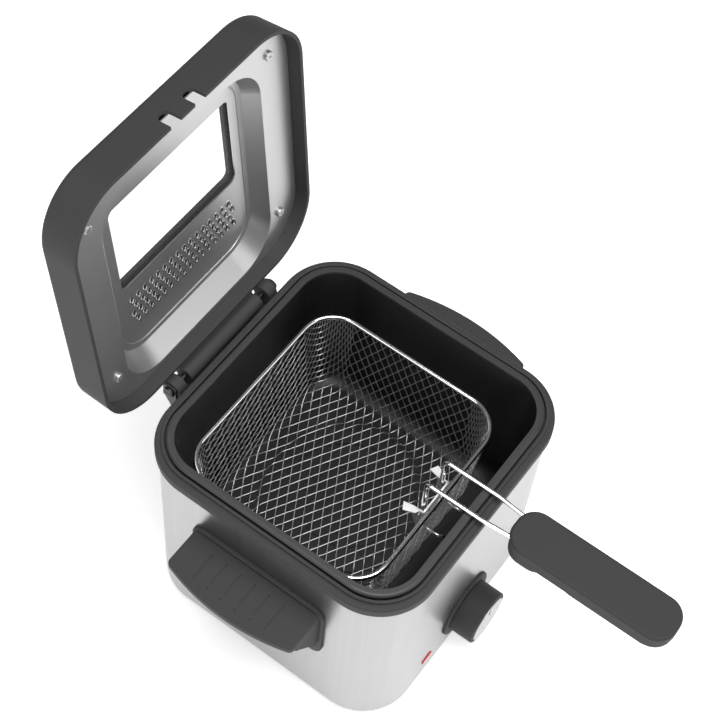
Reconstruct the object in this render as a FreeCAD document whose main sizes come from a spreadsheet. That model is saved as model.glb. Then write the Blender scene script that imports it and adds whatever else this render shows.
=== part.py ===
import FreeCAD, Part
import math
import os
import types

import Sketcher
from FreeCAD import Placement, Rotation, Vector

# Compact deep fryer with its lid open: a steel shell on a base plate, a fixed pot with a basket in it,
# a clip-in basket handle, a thermostat knob, and a lid on a rear hinge.
# X points right as seen from the knob side, Y points to the hinge, Z points up.
# The origin is on the table, under the middle of the whole object with its lid open. Every piece is drawn
# about the middle of the shell, and moved back by shell_back when it is kept.

SIZES = (
    ("shell_back", 39.5, "middle of the shell, behind the origin"),
    ("shell_width", 205.0, "steel shell, outside width and depth"),
    ("corner_centre", 64.0, "distance of every rounded corner's centre from the middle"),
    ("shell_wall", 0.8, "steel shell, wall"),
    ("shell_bottom", 6.0, "steel shell, lower edge above the table"),
    ("shell_top", 176.0, "steel shell, upper edge, hidden in the rim"),
    ("rim_width", 210.0, "plastic rim, outside width and depth"),
    ("rim_bottom", 172.5, "plastic rim, lower edge"),
    ("rim_deck", 180.5, "plastic rim, face that the lid comes down on"),
    ("ridge_width", 201.0, "raised ridge on the rim, outside width"),
    ("ridge_wall", 2.0, "raised ridge on the rim, thickness"),
    ("ridge_top", 183.5, "raised ridge on the rim, top"),
    ("flange_width", 195.0, "rolled flange of the pot, outside width"),
    ("flange_top", 185.0, "rolled flange of the pot, top"),
    ("mouth_width", 184.0, "pot, inside width at the mouth"),
    ("floor_width", 168.0, "pot, inside width at the floor"),
    ("floor_corner", 26.0, "pot, corner radius at the floor"),
    ("floor_height", 68.0, "pot, inner floor above the table"),
    ("pot_wall", 1.5, "pot, wall"),
    ("stud_spacing", 110.0, "distance between the studs under the pot"),
    ("foot_spacing", 140.0, "distance between the feet"),
    ("foot_height", 6.4, "rubber foot, visible height"),
    ("foot_width", 22.0, "rubber foot, diameter"),
    ("grip_span", 107.0, "side handle, width of its wall plate"),
    ("grip_plate_low", 76.0, "side handle, lower edge of its wall plate"),
    ("grip_plate_high", 138.0, "side handle, upper edge of its wall plate"),
    ("grip_top", 135.0, "side handle, top of the shelf"),
    ("grip_reach", 40.0, "side handle, reach from the shell in the middle"),
    ("grip_bow", 8.0, "side handle, bow of the outer edge"),
    ("dial_height", 42.0, "thermostat axis above the table"),
    ("bezel_width", 52.0, "dial bezel, diameter"),
    ("bezel_depth", 2.2, "dial bezel, thickness"),
    ("knob_width", 41.0, "control knob, diameter"),
    ("knob_depth", 17.6, "control knob, depth"),
    ("shaft_width", 6.0, "thermostat shaft, diameter"),
    ("lamp_across", -43.0, "pilot lamp, position across the front"),
    ("lamp_height", 25.0, "pilot lamp, height above the table"),
    ("hinge_back", 112.5, "lid hinge axis, distance behind the middle"),
    ("hinge_height", 178.0, "lid hinge axis, height above the table"),
    ("lid_angle", 95.0, "how far the lid stands open"),
    ("barrel_length", 76.0, "lid hinge barrel, length"),
    ("pin_width", 4.0, "hinge pin, diameter"),
    ("lid_mouth", 181.0, "lid closed: height of its mouth"),
    ("lid_depth", 28.0, "lid, outside depth"),
    ("lid_wall", 2.5, "lid, wall"),
    ("liner_depth", 9.5, "lid, mouth to the liner's flange"),
    ("panel_depth", 21.0, "lid, mouth to the liner's panel"),
    ("liner_sheet", 1.0, "lid liner, sheet thickness"),
    ("window_wide", 112.0, "lid window, width of the liner's opening"),
    ("window_tall", 74.0, "lid window, height of the liner's opening"),
    ("window_middle", -16.0, "lid window, place of its middle front to back"),
    ("vent_middle", 47.0, "steam vents, place of their middle front to back"),
    ("notch_spacing", 21.6, "lid notches, distance between their middles"),
    ("notch_wide", 9.0, "lid notches, width"),
    ("notch_deep", 12.0, "lid notches, depth"),
    ("basket_wide", 159.0, "basket rim wire, width between wire middles"),
    ("basket_long", 148.0, "basket rim wire, depth between wire middles"),
    ("basket_corner", 25.0, "basket rim wire, corner radius"),
    ("basket_across", -5.5, "basket middle, across"),
    ("basket_back", 5.0, "basket middle, front to back"),
    ("basket_top", 161.0, "basket rim wire, height"),
    ("basket_bottom", 80.0, "basket, underside of its floor"),
    ("basket_draft", 12.0, "basket, how much narrower its floor is than its rim"),
    ("basket_skin", 1.6, "basket, thickness of the woven skin"),
    ("rim_wire", 3.6, "basket rim wire, diameter"),
    ("handle_wire", 3.2, "handle wire, diameter"),
    ("handle_level", 187.3, "handle wire, height of its level run"),
    ("handle_spread", 20.8, "handle wires, distance between their middles"),
    ("leg_back", -62.0, "handle wire, place of its upright leg front to back"),
    ("pivot_height", 152.0, "handle wire, height of its turned-out tip"),
    ("grip_near", -122.0, "basket grip, near end"),
    ("grip_far", -241.0, "basket grip, far end"),
    ("grip_wide", 33.0, "basket grip, width"),
    ("grip_parting", 184.5, "basket grip, height of the parting line"),
)


class Size:
    """A length from the sheet: the expression that gives it, and what it comes to now."""

    def __init__(self, text, number):
        self.text = text
        self.number = number

    def __add__(self, other):
        return joined(self, "+", other)

    def __radd__(self, other):
        return joined(other, "+", self)

    def __sub__(self, other):
        return joined(self, "-", other)

    def __rsub__(self, other):
        return joined(other, "-", self)

    def __mul__(self, other):
        return joined(self, "*", other)

    def __rmul__(self, other):
        return joined(other, "*", self)

    def __truediv__(self, other):
        return joined(self, "/", other)

    def __neg__(self):
        return joined(0, "-", self)


def as_size(value):
    return value if isinstance(value, Size) else Size(repr(float(value)), float(value))


def joined(left, sign, right):
    a, b = as_size(left), as_size(right)
    number = {
        "+": lambda: a.number + b.number,
        "-": lambda: a.number - b.number,
        "*": lambda: a.number * b.number,
        "/": lambda: a.number / b.number,
    }[sign]()
    return Size("(%s %s %s)" % (a.text, sign, b.text), number)


doc = FreeCAD.newDocument("deep_fryer")
sheet = doc.addObject("Spreadsheet::Sheet", "Sizes")
size = types.SimpleNamespace()
for row, (alias, number, meaning) in enumerate(SIZES, start=1):
    sheet.set("A%d" % row, meaning)
    sheet.set("B%d" % row, str(number))
    sheet.setAlias("B%d" % row, alias)
    setattr(size, alias, Size("Sizes." + alias, number))
doc.recompute()

nodes = {}


def bind(thing, name, value):
    """Tie one property of a document object to the sheet."""
    thing.setExpression(name, as_size(value).text)


def place_of(sketch, geometry, point, x, y):
    """Hold one point of a sketch at x, y from the sketch's origin."""
    for kind, value, axis in (("DistanceX", x, -2), ("DistanceY", y, -1)):
        value = as_size(value)
        if abs(value.number) < 1e-9:
            sketch.addConstraint(Sketcher.Constraint("PointOnObject", geometry, point, axis))
        else:
            rule = Sketcher.Constraint(kind, -1, 1, geometry, point, value.number)
            index = sketch.addConstraint(rule)
            sketch.setExpression("Constraints[%d]" % index, value.text)


def sized(sketch, rule, value):
    index = sketch.addConstraint(rule)
    sketch.setExpression("Constraints[%d]" % index, as_size(value).text)


def draw_circle(sketch, width, x=0, y=0):
    width, x, y = as_size(width), as_size(x), as_size(y)
    middle = Vector(x.number, y.number, 0)
    ring = sketch.addGeometry(Part.Circle(middle, Vector(0, 0, 1), width.number / 2), False)
    sized(sketch, Sketcher.Constraint("Diameter", ring, width.number), width)
    place_of(sketch, ring, 3, x, y)


def draw_rounded(sketch, wide, tall, corner, x=0, y=0):
    """Rounded rectangle about x, y: four sides, four tangent corners."""
    wide, tall, corner = as_size(wide), as_size(tall), as_size(corner)
    x, y = as_size(x), as_size(y)
    left, right = x.number - wide.number / 2, x.number + wide.number / 2
    low, high = y.number - tall.number / 2, y.number + tall.number / 2
    bend = corner.number
    ends = (
        ((left + bend, low), (right - bend, low)),
        ((right, low + bend), (right, high - bend)),
        ((right - bend, high), (left + bend, high)),
        ((left, high - bend), (left, low + bend)),
    )
    lines = [
        sketch.addGeometry(Part.LineSegment(Vector(*a, 0), Vector(*b, 0)), False) for a, b in ends
    ]
    middles = (
        (right - bend, low + bend),
        (right - bend, high - bend),
        (left + bend, high - bend),
        (left + bend, low + bend),
    )
    arcs = []
    for turn, middle in enumerate(middles):
        whole = Part.Circle(Vector(*middle, 0), Vector(0, 0, 1), bend)
        start = math.radians(90 * turn - 90)
        arc = Part.ArcOfCircle(whole, start, start + math.radians(90))
        arcs.append(sketch.addGeometry(arc, False))
    for side in range(4):
        sketch.addConstraint(Sketcher.Constraint("Tangent", lines[side], 2, arcs[side], 1))
        sketch.addConstraint(Sketcher.Constraint("Tangent", arcs[side], 2, lines[(side + 1) % 4], 1))
    for side, kind in enumerate(("Horizontal", "Vertical", "Horizontal", "Vertical")):
        sketch.addConstraint(Sketcher.Constraint(kind, lines[side]))
    for arc in arcs[1:]:
        sketch.addConstraint(Sketcher.Constraint("Equal", arcs[0], arc))
    sized(sketch, Sketcher.Constraint("Radius", arcs[0], bend), corner)
    span = Sketcher.Constraint("DistanceX", lines[3], 1, lines[1], 1, wide.number)
    sized(sketch, span, wide)
    rise = Sketcher.Constraint("DistanceY", lines[0], 1, lines[2], 1, tall.number)
    sized(sketch, rise, tall)
    edge = x + wide / 2
    rule = Sketcher.Constraint("DistanceX", -1, 1, lines[1], 1, edge.number)
    sized(sketch, rule, edge)
    edge = y + tall / 2
    rule = Sketcher.Constraint("DistanceY", -1, 1, lines[2], 1, edge.number)
    sized(sketch, rule, edge)


def draw_square(sketch, width):
    """Rounded square round the middle, its corners concentric with the shell's."""
    draw_rounded(sketch, width, width, as_size(width) / 2 - size.corner_centre)


def draw_outline(sketch, corners):
    """Closed outline of straight sides."""
    points = [(as_size(x), as_size(y)) for x, y in corners]
    count = len(points)
    flat = [Vector(x.number, y.number, 0) for x, y in points]
    lines = [
        sketch.addGeometry(Part.LineSegment(flat[i], flat[(i + 1) % count]), False)
        for i in range(count)
    ]
    for i in range(count):
        following = lines[(i + 1) % count]
        sketch.addConstraint(Sketcher.Constraint("Coincident", lines[i], 2, following, 1))
    for line, (x, y) in zip(lines, points):
        place_of(sketch, line, 1, x, y)


under_middle = Placement(Vector(0, size.shell_back.number, 0), Rotation())


class Piece:
    """A PartDesign body whose features are bound to the sheet."""

    def __init__(self, label):
        self.label = label
        self.body = doc.addObject("PartDesign::Body", label)
        self.body.Label = label
        self.count = 0

    def named(self, kind):
        self.count += 1
        return "%s_%s_%d" % (self.label, kind, self.count)

    def sketch(self, role, offset=0):
        """Sketch on one of the body's own planes, moved along the plane's normal."""
        sketch = self.body.newObject("Sketcher::SketchObject", self.named("sketch"))
        plane = [p for p in self.body.Origin.OriginFeatures if p.Role == role][0]
        sketch.AttachmentSupport = [(plane, "")]
        sketch.MapMode = "FlatFace"
        bind(sketch, "AttachmentOffset.Base.z", offset)
        return sketch

    def level(self, height):
        return self.sketch("XY_Plane", height)

    def facing_front(self, y):
        return self.sketch("XZ_Plane", -as_size(y))

    def facing_side(self, x):
        return self.sketch("YZ_Plane", x)

    def extrude(self, kind, sketch, length, backwards):
        before = self.body.Shape.Volume if self.count > 2 else 0.0
        feature = self.body.newObject("PartDesign::" + kind, self.named(kind.lower()))
        feature.Profile = sketch
        bind(feature, "Length", length)
        feature.Reversed = backwards
        doc.recompute()
        if abs(feature.Shape.Volume - before) < 1e-3:
            raise RuntimeError("%s changes nothing" % feature.Name)
        return feature

    def pad(self, sketch, length, backwards=False):
        return self.extrude("Pad", sketch, length, backwards)

    def pocket(self, sketch, length, backwards=False):
        return self.extrude("Pocket", sketch, length, backwards)

    def loft(self, kind, first, second):
        feature = self.body.newObject("PartDesign::%sLoft" % kind, self.named("loft"))
        feature.Profile = first
        feature.Sections = [(second, "")]
        doc.recompute()
        return sound(feature)

    def turn(self, kind, sketch, angle=360):
        feature = self.body.newObject("PartDesign::" + kind, self.named(kind.lower()))
        feature.Profile = sketch
        feature.ReferenceAxis = (sketch, ["V_Axis"])
        feature.Angle = angle
        doc.recompute()
        return sound(feature)

    def round_edges(self, radius, wanted):
        """Fillet the edges whose bounding boxes pass the test."""
        base = self.body.Tip
        edges = base.Shape.Edges
        names = ["Edge%d" % (i + 1) for i, e in enumerate(edges) if wanted(e.BoundBox)]
        if not names:
            raise RuntimeError("%s has no edge to round" % self.label)
        feature = self.body.newObject("PartDesign::Fillet", self.named("fillet"))
        feature.Base = (base, names)
        bind(feature, "Radius", radius)
        doc.recompute()
        return sound(feature)

    def repeat(self, features, sketch, axis, length, times):
        """Repeat features along a sketch axis; the pattern becomes the body's tip."""
        feature = self.body.newObject("PartDesign::LinearPattern", self.named("row"))
        feature.Originals = features
        feature.Direction = (sketch, [axis])
        bind(feature, "Length", length)
        feature.Occurrences = times
        self.body.Tip = feature
        doc.recompute()
        return sound(feature)

    def keep(self, placement=None):
        """Make the finished body a node."""
        self.body.Placement = under_middle * (placement or Placement())
        nodes[self.label] = self.body
        return self.body


def sound(feature):
    """The feature itself, once it is known to have made a solid."""
    if feature.Shape.isNull() or not feature.Shape.isValid():
        raise RuntimeError("%s failed" % feature.Name)
    return feature


def at_height(z, slack=0.01):
    """Test for edges that lie level at height z."""
    z = as_size(z).number
    return lambda box: abs(box.ZMin - z) < slack and abs(box.ZMax - z) < slack


def four_ways(label, maker):
    """Four copies of a piece, one in each quarter, kept as one node of separate solids."""
    one = maker.body
    beside = doc.addObject("Part::Mirroring", label + "_beside")
    beside.Source = one
    beside.Normal = Vector(1, 0, 0)
    pair = doc.addObject("Part::Compound", label + "_pair")
    pair.Links = [one, beside]
    behind = doc.addObject("Part::Mirroring", label + "_behind")
    behind.Source = pair
    behind.Normal = Vector(0, 1, 0)
    whole = doc.addObject("Part::Compound", label)
    whole.Label = label
    whole.Links = [pair, behind]
    whole.Placement = under_middle
    nodes[label] = whole
    return whole


def two_ways(label, maker):
    """A piece and its mirror image, kept as one node of separate solids."""
    beside = doc.addObject("Part::Mirroring", label + "_beside")
    beside.Source = maker.body
    beside.Normal = Vector(1, 0, 0)
    whole = doc.addObject("Part::Compound", label)
    whole.Label = label
    whole.Links = [maker.body, beside]
    whole.Placement = under_middle
    nodes[label] = whole
    return whole


def carve(label, outside, hollow):
    """Node left when one piece's solid is taken out of another's."""
    whole = doc.addObject("Part::Cut", label)
    whole.Label = label
    whole.Base = outside.body
    whole.Tool = hollow.body
    whole.Placement = under_middle
    nodes[label] = whole
    return whole


def bent_tube(points, width, bend):
    """Solid round wire along straight runs joined by tangent arcs."""
    corners = [Vector(*p) for p in points]
    edges = []
    start = corners[0]
    for before, corner, after in zip(corners, corners[1:], corners[2:]):
        arrive = (corner - before).normalize()
        leave = (after - corner).normalize()
        angle = arrive.getAngle(leave)
        reach = bend * math.tan(angle / 2)
        first = corner - arrive * reach
        last = corner + leave * reach
        inward = (leave - arrive).normalize()
        middle = corner + inward * (bend / math.cos(angle / 2) - bend)
        edges.append(Part.LineSegment(start, first).toShape())
        edges.append(Part.Arc(first, middle, last).toShape())
        start = last
    edges.append(Part.LineSegment(start, corners[-1]).toShape())
    ring = Part.makeCircle(width / 2, corners[0], corners[1] - corners[0])
    return Part.Wire(edges).makePipeShell([Part.Wire(ring)], True, False)


def wire_node(label, shapes, placement=None):
    """Node of bent wires, which no sketch on an origin plane can carry."""
    feature = doc.addObject("Part::Feature", label)
    feature.Label = label
    feature.Shape = shapes[0] if len(shapes) == 1 else Part.makeCompound(shapes)
    feature.Placement = under_middle * (placement or Placement())
    nodes[label] = feature
    return feature


# ---------------------------------------------------------------- housing

half_shell = size.shell_width / 2
through_wall = 3.0


def make_outer_shell():
    shell = Piece("outer_shell")
    ring = shell.level(size.shell_bottom)
    draw_square(ring, size.shell_width)
    draw_square(ring, size.shell_width - 2 * size.shell_wall)
    shell.pad(ring, size.shell_top - size.shell_bottom)
    front = shell.facing_front(-half_shell - 1)
    draw_circle(front, 10.6, 0, size.dial_height)
    draw_rounded(front, 11.6, 5.8, 2.1, size.lamp_across, size.lamp_height)
    shell.pocket(front, through_wall)
    rear = shell.facing_front(half_shell + 1)
    draw_circle(rear, 12.4, 60, 28)
    shell.pocket(rear, through_wall, backwards=True)
    sides = shell.facing_side(half_shell + 1)
    for y in (-35, 35):
        draw_circle(sides, 4.6, y, 106)
    shell.pocket(sides, size.shell_width + 2)
    shell.keep()


lug_inner = size.barrel_length / 2 + 6
lug_length = 8.0
lug_round = 14.0


def make_top_rim():
    rim = Piece("top_rim")
    skirt = rim.level(size.rim_bottom)
    draw_square(skirt, size.rim_width)
    draw_square(skirt, size.shell_width + 0.5)
    rim.pad(skirt, size.rim_deck - size.rim_bottom)
    deck = rim.level(size.rim_deck)
    draw_square(deck, size.rim_width - 2)
    draw_square(deck, size.flange_width - 5)
    rim.pad(deck, 3, backwards=True)
    ridge = rim.level(size.rim_deck)
    draw_square(ridge, size.ridge_width)
    draw_square(ridge, size.ridge_width - 2 * size.ridge_wall)
    rim.pad(ridge, size.ridge_top - size.rim_deck)
    outer = size.rim_width.number / 2
    level = at_height(size.rim_deck)
    far_out = lambda box: max(abs(box.XMin), abs(box.XMax), abs(box.YMin), abs(box.YMax))
    rim.round_edges(2.2, lambda box: level(box) and far_out(box) > outer - 0.1)
    rim.round_edges(0.7, at_height(size.ridge_top))
    for x in (lug_inner, -lug_inner - lug_length):
        web = rim.facing_side(x)
        back, height = size.hinge_back, size.hinge_height
        draw_outline(
            web,
            (
                (size.rim_width / 2 - 1.5, size.rim_bottom + 0.5),
                (back, height - lug_round / 2),
                (back, size.rim_deck - 0.2),
                (size.rim_width / 2 - 1.5, size.rim_deck - 3.5),
            ),
        )
        rim.pad(web, lug_length)
        lug = rim.facing_side(x)
        draw_circle(lug, lug_round, back, height)
        rim.pad(lug, lug_length)
    bore = rim.facing_side(-60)
    draw_circle(bore, size.pin_width + 0.1, size.hinge_back, size.hinge_height)
    rim.pocket(bore, 120, backwards=True)
    rim.keep()


def make_pot_gasket():
    gasket = Piece("pot_gasket")
    ring = gasket.level(size.rim_deck + 0.05)
    draw_square(ring, size.flange_width - 1)
    draw_square(ring, size.mouth_width + 2 * size.pot_wall + 1.2)
    gasket.pad(ring, 0.7)
    gasket.keep()


def make_inner_pot():
    outside = Piece("pot_outside")
    outside_mouth = size.mouth_width + 2 * size.pot_wall
    outside_floor = size.floor_width + 2 * size.pot_wall
    top = outside.level(size.flange_top - 3)
    draw_square(top, outside_mouth)
    bottom = outside.level(size.floor_height - size.pot_wall)
    draw_rounded(bottom, outside_floor, outside_floor, size.floor_corner + size.pot_wall)
    outside.loft("Additive", top, bottom)
    outside.round_edges(13.5, at_height(size.floor_height - size.pot_wall))
    flange = outside.level(size.rim_deck + 0.8)
    draw_square(flange, size.flange_width)
    outside.pad(flange, size.flange_top - size.rim_deck - 0.8)
    outside.round_edges(2.4, at_height(size.flange_top))
    hollow = Piece("pot_hollow")
    mouth = hollow.level(size.flange_top + 0.1)
    draw_square(mouth, size.mouth_width)
    floor = hollow.level(size.floor_height)
    draw_rounded(floor, size.floor_width, size.floor_width, size.floor_corner)
    hollow.loft("Additive", mouth, floor)
    hollow.round_edges(12, at_height(size.floor_height))
    for width in (104.0, 66.0):
        step = hollow.level(size.floor_height - 1)
        draw_circle(step, width)
        draw_circle(step, width - 6)
        hollow.pocket(step, 2.2, backwards=True)
    carve("inner_pot", outside, hollow)


def make_base_plate():
    plate = Piece("base_plate")
    slab = plate.level(size.foot_height + 0.2)
    draw_square(slab, size.shell_width - 2 * size.shell_wall - 0.6)
    plate.pad(slab, 2.8)
    holes = plate.level(size.foot_height + 5)
    for x in (-1, 1):
        for y in (-1, 1):
            draw_circle(holes, 4.8, x * size.stud_spacing / 2, y * size.stud_spacing / 2)
            draw_circle(holes, 8.2, x * size.foot_spacing / 2, y * size.foot_spacing / 2)
    plate.pocket(holes, 8)
    slot = plate.level(size.foot_height + 5)
    draw_rounded(slot, 3.5, 44, 1.7, -28, 0)
    cut = plate.pocket(slot, 8)
    plate.repeat([cut], slot, "H_Axis", 56, 8)
    plate.keep()


def make_rubber_feet():
    foot = Piece("rubber_foot")
    pad = foot.level(0)
    draw_circle(pad, size.foot_width, size.foot_spacing / 2, size.foot_spacing / 2)
    foot.pad(pad, size.foot_height)
    foot.round_edges(1.2, at_height(0))
    stem = foot.level(size.foot_height)
    draw_circle(stem, 7.8, size.foot_spacing / 2, size.foot_spacing / 2)
    foot.pad(stem, 4.2)
    four_ways("rubber_feet", foot)


def make_studs():
    stud = Piece("pot_stud")
    rod = stud.level(2.6)
    draw_circle(rod, 4, size.stud_spacing / 2, size.stud_spacing / 2)
    stud.pad(rod, size.floor_height - size.pot_wall - 2.6)
    four_ways("pot_studs", stud)
    nut = Piece("stud_nut")
    flats = nut.level(3.2)
    middle = size.stud_spacing / 2
    spokes = [math.radians(60 * i) for i in range(6)]
    draw_outline(flats, [(middle + 4.04 * math.cos(a), middle + 4.04 * math.sin(a)) for a in spokes])
    draw_circle(flats, 4.1, middle, middle)
    nut.pad(flats, 3.2)
    four_ways("stud_nuts", nut)


element_height = 59.6
spreader_thick = 3.0


def make_heating():
    pot_underside = size.floor_height - size.pot_wall
    spreader = Piece("heat_spreader")
    disc = spreader.level(pot_underside - 0.1)
    draw_circle(disc, 130)
    spreader.pad(disc, spreader_thick, backwards=True)
    spreader.keep()
    element = Piece("heating_element")
    tube = element.facing_front(0)
    draw_circle(tube, 7, 50, element_height)
    element.turn("Revolution", tube, 340)
    turned = Placement(Vector(), Rotation(Vector(0, 0, 1), 100))
    ends = element.level(element_height)
    draw_circle(ends, 4.4, 49.5, 1.5)
    draw_circle(ends, 4.4, 49.5 * math.cos(math.radians(20)), 49.5 * -math.sin(math.radians(20)) - 1.5)
    element.pad(ends, 10, backwards=True)
    element.keep(turned)
    shield = Piece("heat_shield")
    tray = shield.level(43)
    draw_rounded(tray, 140, 140, 20)
    for x in (-1, 1):
        for y in (-1, 1):
            draw_circle(tray, 4.6, x * size.stud_spacing / 2, y * size.stud_spacing / 2)
    shield.pad(tray, 1)
    shield.keep()
    cutout = Piece("thermal_cutout")
    can = cutout.level(pot_underside - spreader_thick - 0.2)
    draw_circle(can, 16)
    cutout.pad(can, 8, backwards=True)
    blades = cutout.level(pot_underside - spreader_thick - 8)
    for y in (-5, 5):
        draw_rounded(blades, 5, 1, 0.3, 0, y)
    cutout.pad(blades, 6, backwards=True)
    cutout.keep()


thermostat_back = -74.0


def make_thermostat():
    box = Piece("thermostat_body")
    can = box.facing_front(thermostat_back)
    draw_rounded(can, 36, 30, 3, 0, size.dial_height)
    box.pad(can, 22)
    bush = box.facing_front(thermostat_back - 20)
    draw_circle(bush, 10, 0, size.dial_height)
    box.pad(bush, half_shell + thermostat_back - 18.2)
    bore = box.facing_front(-half_shell - 4)
    draw_circle(bore, size.shaft_width + 0.1, 0, size.dial_height)
    box.pocket(bore, 24)
    box.keep()
    bulb = bent_tube(((-25, -22, 60), (22, -22, 60)), 5.2, 1)
    capillary = bent_tube(
        ((20, -22, 60), (32, -22, 60), (32, -36, 51.5), (8, -60, 51.5), (8, thermostat_back + 0.1, 51.5)),
        1.6,
        4,
    )
    wire_node("thermostat_bulb", [bulb.fuse(capillary)])


def make_supply():
    block = Piece("terminal_block")
    brick = block.level(size.foot_height + 3.2)
    draw_rounded(brick, 34, 15, 1.5, 45, 66)
    block.pad(brick, 12)
    wells = block.level(size.foot_height + 15.2)
    draw_circle(wells, 4, 34, 66)
    well = block.pocket(wells, 7)
    block.repeat([well], wells, "H_Axis", 22, 3)
    block.keep()
    leads = (
        ((45, 58.4, 16), (45, 40, 16), (30, 0, 20), (12, -50, 34), (12, thermostat_back + 0.1, 38)),
        ((34, 58.4, 18), (34, 46, 22), (6, 40, 26), (-14, 10, 27), (-14, -40, 34), (-12, thermostat_back + 0.1, 36)),
        ((56, 66, 15), (56, 66, 30), (80, 62, 34), (82, 60, 40), (60, 80, 50), (13, 78, 50), (13, 55, 50)),
        ((-6, thermostat_back + 0.1, 34), (-6, -66, 34), (-40, -78, 30), (-43, -82, 25), (-43, -86.9, 25)),
    )
    wire_node("wiring", [bent_tube(route, 2.2, 2.6) for route in leads])


def make_cord_gland():
    gland = Piece("cord_gland")
    outside = gland.facing_front(half_shell + 0.1)
    draw_circle(outside, 18, 60, 28)
    gland.pad(outside, 3.4, backwards=True)
    gland.round_edges(1.5, lambda box: box.YMin > half_shell.number + 3.4)
    inside = gland.facing_front(half_shell + 0.1)
    draw_circle(inside, 12, 60, 28)
    gland.pad(inside, 9)
    nut = gland.facing_front(half_shell - size.shell_wall - 0.1)
    draw_circle(nut, 17, 60, 28)
    gland.pad(nut, 4)
    bore = gland.facing_front(half_shell - 20)
    draw_circle(bore, 7, 60, 28)
    gland.pocket(bore, 30)
    gland.keep()


def make_hinge_fittings():
    behind = half_shell + 0.15
    bracket = Piece("hinge_bracket")
    plate = bracket.facing_front(behind)
    draw_rounded(plate, 122, 22, 3, 0, 160)
    bracket.pad(plate, 1.6, backwards=True)
    ear_x = lug_inner + lug_length + 0.25
    for x in (ear_x, -ear_x - 1.6):
        ear = bracket.facing_side(x)
        back, height = size.hinge_back, size.hinge_height
        draw_outline(
            ear,
            (
                (half_shell + 1, 152),
                (half_shell + 5, 152),
                (back + 5.5, height - 6),
                (back + 5.5, height + 3),
                (back + 2.5, height + 5.5),
                (back - 5, height + 5.5),
                (back - 5, 170.5),
                (half_shell + 1, 170.5),
            ),
        )
        bracket.pad(ear, 1.6)
    holes = bracket.facing_side(-70)
    draw_circle(holes, size.pin_width + 0.1, size.hinge_back, size.hinge_height)
    bracket.pocket(holes, 140, backwards=True)
    fixings = bracket.facing_front(behind + 3)
    for x in (-36, 36):
        draw_circle(fixings, 3.4, x, 159)
    bracket.pocket(fixings, 4, backwards=True)
    bracket.keep()
    screw = Piece("hinge_screw")
    head = screw.facing_front(behind + 1.7)
    draw_circle(head, 6.4, 36, 159)
    screw.pad(head, 2, backwards=True)
    screw.round_edges(0.8, lambda box: box.YMin > behind.number + 3.6)
    slot = screw.facing_front(behind + 3.8)
    draw_outline(slot, ((35.5, 155), (36.5, 155), (36.5, 163), (35.5, 163)))
    screw.pocket(slot, 1.0, backwards=True)
    shank = screw.facing_front(behind + 1.8)
    draw_circle(shank, 3.2, 36, 159)
    screw.pad(shank, 1.75)
    two_ways("hinge_screws", screw)
    pin = Piece("hinge_pin")
    rod = pin.facing_side(size.barrel_length / 2 - 12)
    draw_circle(rod, size.pin_width, size.hinge_back, size.hinge_height)
    pin.pad(rod, ear_x + 1.7 - size.barrel_length / 2 + 12)
    cap = pin.facing_side(ear_x + 1.7)
    draw_circle(cap, 8.4, size.hinge_back, size.hinge_height)
    pin.pad(cap, 1.8)
    edge = (ear_x + 3.5).number
    pin.round_edges(0.6, lambda box: box.XMin > edge - 0.01)
    groove = pin.facing_side(ear_x + 3.6)
    back, height = size.hinge_back, size.hinge_height
    draw_outline(
        groove,
        ((back - 6, height - 0.5), (back + 6, height - 0.5), (back + 6, height + 0.5), (back - 6, height + 0.5)),
    )
    pin.pocket(groove, 0.9)
    two_ways("hinge_pins", pin)
    cover = Piece("hinge_cover")
    strip = cover.level(164.6)
    draw_rounded(strip, 103, 17.2, 2, 0, half_shell + 10.4)
    cover.pad(strip, 2.4)
    apron = cover.level(150)
    draw_rounded(apron, 60, 2.0, 0.6, 0, half_shell + 18.1)
    cover.pad(apron, 15)
    cover.keep()


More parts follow.
